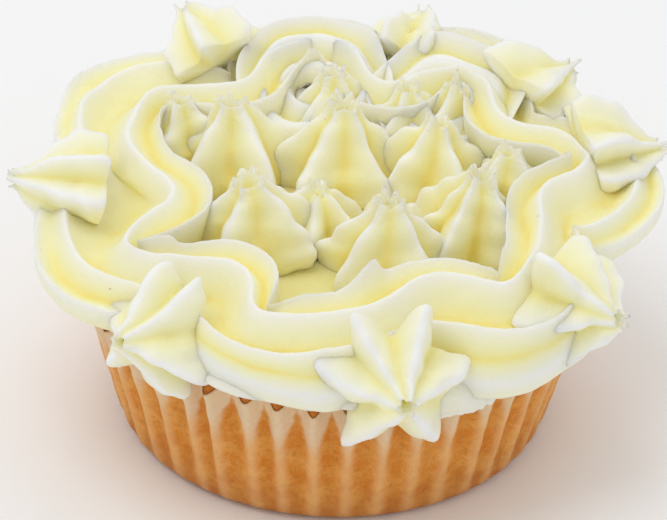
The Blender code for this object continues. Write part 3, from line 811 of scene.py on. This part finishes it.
def star_sheet(
    foot, axis, turn, radius, height, rays, seed,
    groove=0.52, tip=0.20, broad=1.25, pale=0.0, twist=8.0,
):
    """Rings up a star and down into the pit in its tip.  A ring's radius runs from hollow to
    fin by a power (`broad`) of the angle between them; each fin draws in with height in its
    own way, twists by `twist` degrees, and ends in a blunt torn tip at its own height.  `rays`
    gives each fin's direction in degrees and its length.  `groove` is the hollows' share of the
    radius at the foot, `tip` the fins' share at the top, and `pale` raises the painted shade
    value, so that the icing is drawn with less painted shade and more painted highlight."""
    chance = np.random.default_rng(seed)
    headings, lengths = np.array(rays, float).T
    start = np.radians(headings)
    gap = np.radians((np.roll(headings, -1) - headings) % 360.0)
    part = np.arange(STAR_GAP_POINTS) / STAR_GAP_POINTS
    angles = (start[:, None] + gap[:, None] * part).reshape(-1)
    nearer = np.where(part < 0.5, 0, 1)
    owner = ((np.arange(STAR_FINS)[:, None] + nearer) % STAR_FINS).reshape(-1)
    fin = np.tile(np.abs(1.0 - 2.0 * part), STAR_FINS)

    tops = chance.uniform(-0.4, 1.4, STAR_FINS)[owner]
    fullness = chance.uniform(0.95, 1.75, STAR_FINS)[owner]
    bends = np.radians(chance.normal(0.0, 9.0, STAR_FINS))[owner]
    rise = np.linspace(0.0, 1.0, STAR_ROWS)[:, None]
    edge = tip + (1.0 - tip) * (0.5 + 0.5 * np.cos(math.pi * rise ** fullness))
    edge = edge * (1.0 - 0.10 * np.exp(-rise / 0.07))
    hollow = groove * (1.0 - (1.0 - 0.62 * tip / groove) * rise ** 1.15)
    inside = np.minimum(hollow, edge * 0.8)
    lip = 0.26 * (1.0 - rise ** 3)
    face = (1.0 - lip) * fin ** broad + lip * fin ** 5
    ring = inside + (edge * lengths[owner] ** (1.0 - rise) - inside) * face
    climb = rise * (0.92 + 0.09 * smooth_step(fin, 0.0, 0.7) * tops)
    swing = angles + bends * fin * (1.0 - rise) + math.radians(twist) * rise

    pit = np.linspace(0.0, 1.0, STAR_PIT_ROWS + 1)[1:-1, None]
    pit_climb = climb[-1] - (climb[-1] - STAR_PIT_FLOOR) * pit ** 1.2
    ring = np.concatenate([ring, ring[-1] * (1.0 - pit)]) * radius
    climb = np.concatenate([climb, pit_climb]) * height
    swing = np.concatenate([swing, np.repeat(swing[-1:], len(pit), axis=0)])
    own = eased(rings(swing, ring, climb), 6, axis=1)

    # Painted shade and highlight: hollows between fins and the pit in the tip drawn deep yellow, crests
    # ivory, and the whole star yellower towards its foot.
    crest = 0.02 + 0.36 * smooth_step(fin, 0.0, 0.75) + 0.62 * fin ** 5
    pit_shade = np.repeat(0.75 * (1.0 - pit), len(fin), axis=1)
    ridge = np.concatenate([crest + 0.20 * rise - 0.08 + pale, pit_shade])
    torn = np.clip((climb / height - 0.66) * 2.4, 0.08, 0.75)
    facing = star_frame(axis, turn)
    placed = foot + own @ facing.T
    rough = waver(placed, 4.0 * MM, seed + 1) * 0.24 * MM
    rough += waver(placed, 1.1 * MM, seed + 2, 30) * 0.20 * MM * torn ** 2
    outward = own / np.maximum(np.linalg.norm(own, axis=-1, keepdims=True), 1 * MM)
    placed += (outward * rough[..., None]) @ facing.T
    pit_middle = foot + facing @ np.array([0.0, 0.0, 0.60 * height])
    return placed, [foot, pit_middle], ridge, torn


def even_rays(seed, spread=5.0, uneven=0.07):
    """Six fins of about equal length, the pair in front standing wider apart than the rest."""
    chance = np.random.default_rng(seed)
    headings = np.array([8.0, 62.0, 118.0, 172.0, 224.0, 316.0])
    headings += chance.normal(0.0, spread, STAR_FINS)
    return np.stack([headings, chance.normal(1.0, uneven, STAR_FINS)], axis=1)


def pipe_star(name, node, sheet):
    placed, ends, ridge, torn = sheet
    star = skin(name, placed, ends=ends, ridge=ridge, torn=torn)
    star.data.materials.append(cream)
    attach(star, "root")
    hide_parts(node)


# Stars pressed on outside the rope: direction, distance from the middle to the star's foot,
# height, length of its fins, depth, upward tilt of its axis
RIM_STARS = (
    (283.0, 29.8, 23.4, 9.4, 7.6, 7.0),
    (229.0, 28.6, 24.2, 8.8, 8.6, 14.0),
    (184.0, 27.4, 29.0, 8.6, 10.8, 13.0),
    (122.5, 26.6, 31.2, 7.6, 9.6, 22.0),
    (74.0, 26.9, 28.9, 8.0, 9.6, 22.0),
    (43.0, 28.0, 29.0, 8.4, 9.6, 12.0),
    (16.0, 29.6, 28.0, 9.6, 9.6, 8.0),
    (327.0, 29.2, 25.6, 9.4, 9.8, 5.0),
)
# the fins of stars that are far from even: direction seen from outside, and length
RIM_STAR_RAYS = {
    0: ((6.0, 1.02), (72.0, 1.26), (114.0, 1.30), (172.0, 1.22), (232.0, 1.16), (297.0, 1.18)),
    1: ((-13.0, 1.15), (50.0, 1.22), (98.0, 1.12), (170.0, 1.0), (232.0, 1.10), (292.0, 1.08)),
    2: ((20.0, 1.0), (75.0, 0.95), (120.0, 0.9), (180.0, 1.0), (240.0, 1.1), (300.0, 1.1)),
    7: ((5.0, 1.0), (58.0, 1.0), (118.0, 1.1), (165.0, 1.15), (220.0, 1.0), (300.0, 1.05)),
}

for index, (direction, distance, level, ray, depth, tilt) in enumerate(RIM_STARS):
    angle, up = math.radians(direction), math.radians(tilt)
    foot = np.array([distance * math.cos(angle), distance * math.sin(angle), level]) * MM
    axis = (math.cos(angle) * math.cos(up), math.sin(angle) * math.cos(up), math.sin(up))
    rays = RIM_STAR_RAYS.get(index) or even_rays(100 + index)
    pipe_star(
        f"outer_star_{index + 1}", f"rim_star_{index + 1}",
        star_sheet(
            foot, axis, 0.0, ray * MM, depth * MM, rays, 200 + 5 * index,
            groove=0.54, tip=0.14, broad=0.95, pale=0.16, twist=5.0,
        ),
    )

# Upright stars in the middle: place in plan, radius over the fins, height, lean, turn
CENTRE_STARS = (
    (0.4, 7.3, 9.9, 11.6, 3.0, 0.0),
    (-11.6, 8.2, 9.8, 10.6, 6.0, -6.0),
    (-9.2, -6.2, 9.6, 11.2, 6.0, 6.0),
    (5.4, -9.4, 9.0, 11.2, 5.0, -6.0),
    (14.8, -4.0, 8.6, 11.0, 8.0, 8.0),
    (10.6, 6.6, 8.4, 10.4, 6.0, -8.0),
    (-2.2, -2.6, 6.8, 7.6, 2.0, 20.0),
    (-1.0, 16.0, 8.4, 9.4, 4.0, 5.0),
    (7.6, 14.2, 7.6, 9.0, 4.0, 10.0),
    (18.6, 3.2, 7.4, 8.8, 6.0, 0.0),
    (-17.6, 11.0, 7.4, 8.8, 8.0, 12.0),
    (12.8, 15.6, 7.4, 8.4, 6.0, 16.0),
)

for index, (x, y, radius, height, tilt, turn) in enumerate(CENTRE_STARS):
    foot = np.array([x * MM, y * MM, BED_LEVEL + LEAN * y * MM - 0.4 * MM])
    outward = np.array([x, y]) / max(math.hypot(x, y), 1.0)
    slope = math.tan(math.radians(tilt))
    axis = (outward[0] * slope, outward[1] * slope, 1.0)
    pipe_star(
        f"middle_star_{index + 1}", f"centre_star_{index + 1}",
        star_sheet(
            foot, axis, math.radians(turn), radius * MM, height * MM, even_rays(300 + index),
            400 + 5 * index,
        ),
    )


# ---- Table, light and camera ------------------------------------------------------------
# A plain white table top, and soft light all round from a pale studio, stronger from the
# upper left.  The camera looks down from in front through a long lens.

TABLE_HALF = 2.0
TABLE_WHITE = (0.96, 0.965, 0.97, 1.0)
STUDIO_WHITE = (1.0, 1.0, 1.0, 1.0)
STUDIO_STRENGTH = 0.68
CAMERA_RISE = math.radians(34.0)
CAMERA_ROLL = math.radians(1.6)
CAMERA_DISTANCE = 0.700
CAMERA_LENS = 327.2                   # millimetres, on a 36 mm sensor
CAMERA_AIM = Vector((-0.32 * MM, 0.0, 19.5 * MM))

table_mesh = bpy.data.meshes.new("table")
table_corners = [(TABLE_HALF * x, TABLE_HALF * y, 0.0) for x, y in ((-1, -1), (1, -1), (1, 1), (-1, 1))]
table_mesh.from_pydata(table_corners, [], [(0, 1, 2, 3)])
table = bpy.data.objects.new("table", table_mesh)
table.location.z = -0.05 * MM
bpy.context.scene.collection.objects.link(table)
table_finish = Finish("table_top", Roughness=0.9, Specular_IOR_Level=0.1)
table_finish.shader.inputs["Base Color"].default_value = TABLE_WHITE
table_mesh.materials.append(table_finish.material)

world = bpy.data.worlds.new("studio")
world.use_nodes = True
sky = world.node_tree.nodes["Background"]
sky.inputs["Color"].default_value = STUDIO_WHITE
sky.inputs["Strength"].default_value = STUDIO_STRENGTH
bpy.context.scene.world = world

# each light: where it stands, how wide it is, and its power in watts
LIGHTS = (
    ("key", (-0.26, -0.12, 0.72), 0.45, 1.35),
    ("fill", (0.50, -0.45, 0.45), 0.50, 0.14),
    ("back", (0.10, 0.40, 0.62), 0.45, 0.50),
)
for name, place, size, power in LIGHTS:
    lamp = bpy.data.lights.new(name, "AREA")
    lamp.size = size
    lamp.energy = power
    light = bpy.data.objects.new(name, lamp)
    light.location = place
    light.rotation_euler = Vector(place).to_track_quat("Z", "Y").to_euler()
    bpy.context.scene.collection.objects.link(light)

lens = bpy.data.cameras.new("camera")
lens.sensor_width = 36.0
lens.lens = CAMERA_LENS
lens.clip_start = 0.01
camera = bpy.data.objects.new("camera", lens)
back = Vector((0.0, -math.cos(CAMERA_RISE), math.sin(CAMERA_RISE)))
camera.location = CAMERA_AIM + CAMERA_DISTANCE * back
camera.rotation_euler = (back.to_track_quat("Z", "Y") @ Quaternion((0, 0, 1), CAMERA_ROLL)).to_euler()
bpy.context.scene.collection.objects.link(camera)
bpy.context.scene.camera = camera
bpy.context.scene.view_settings.view_transform = "Standard"
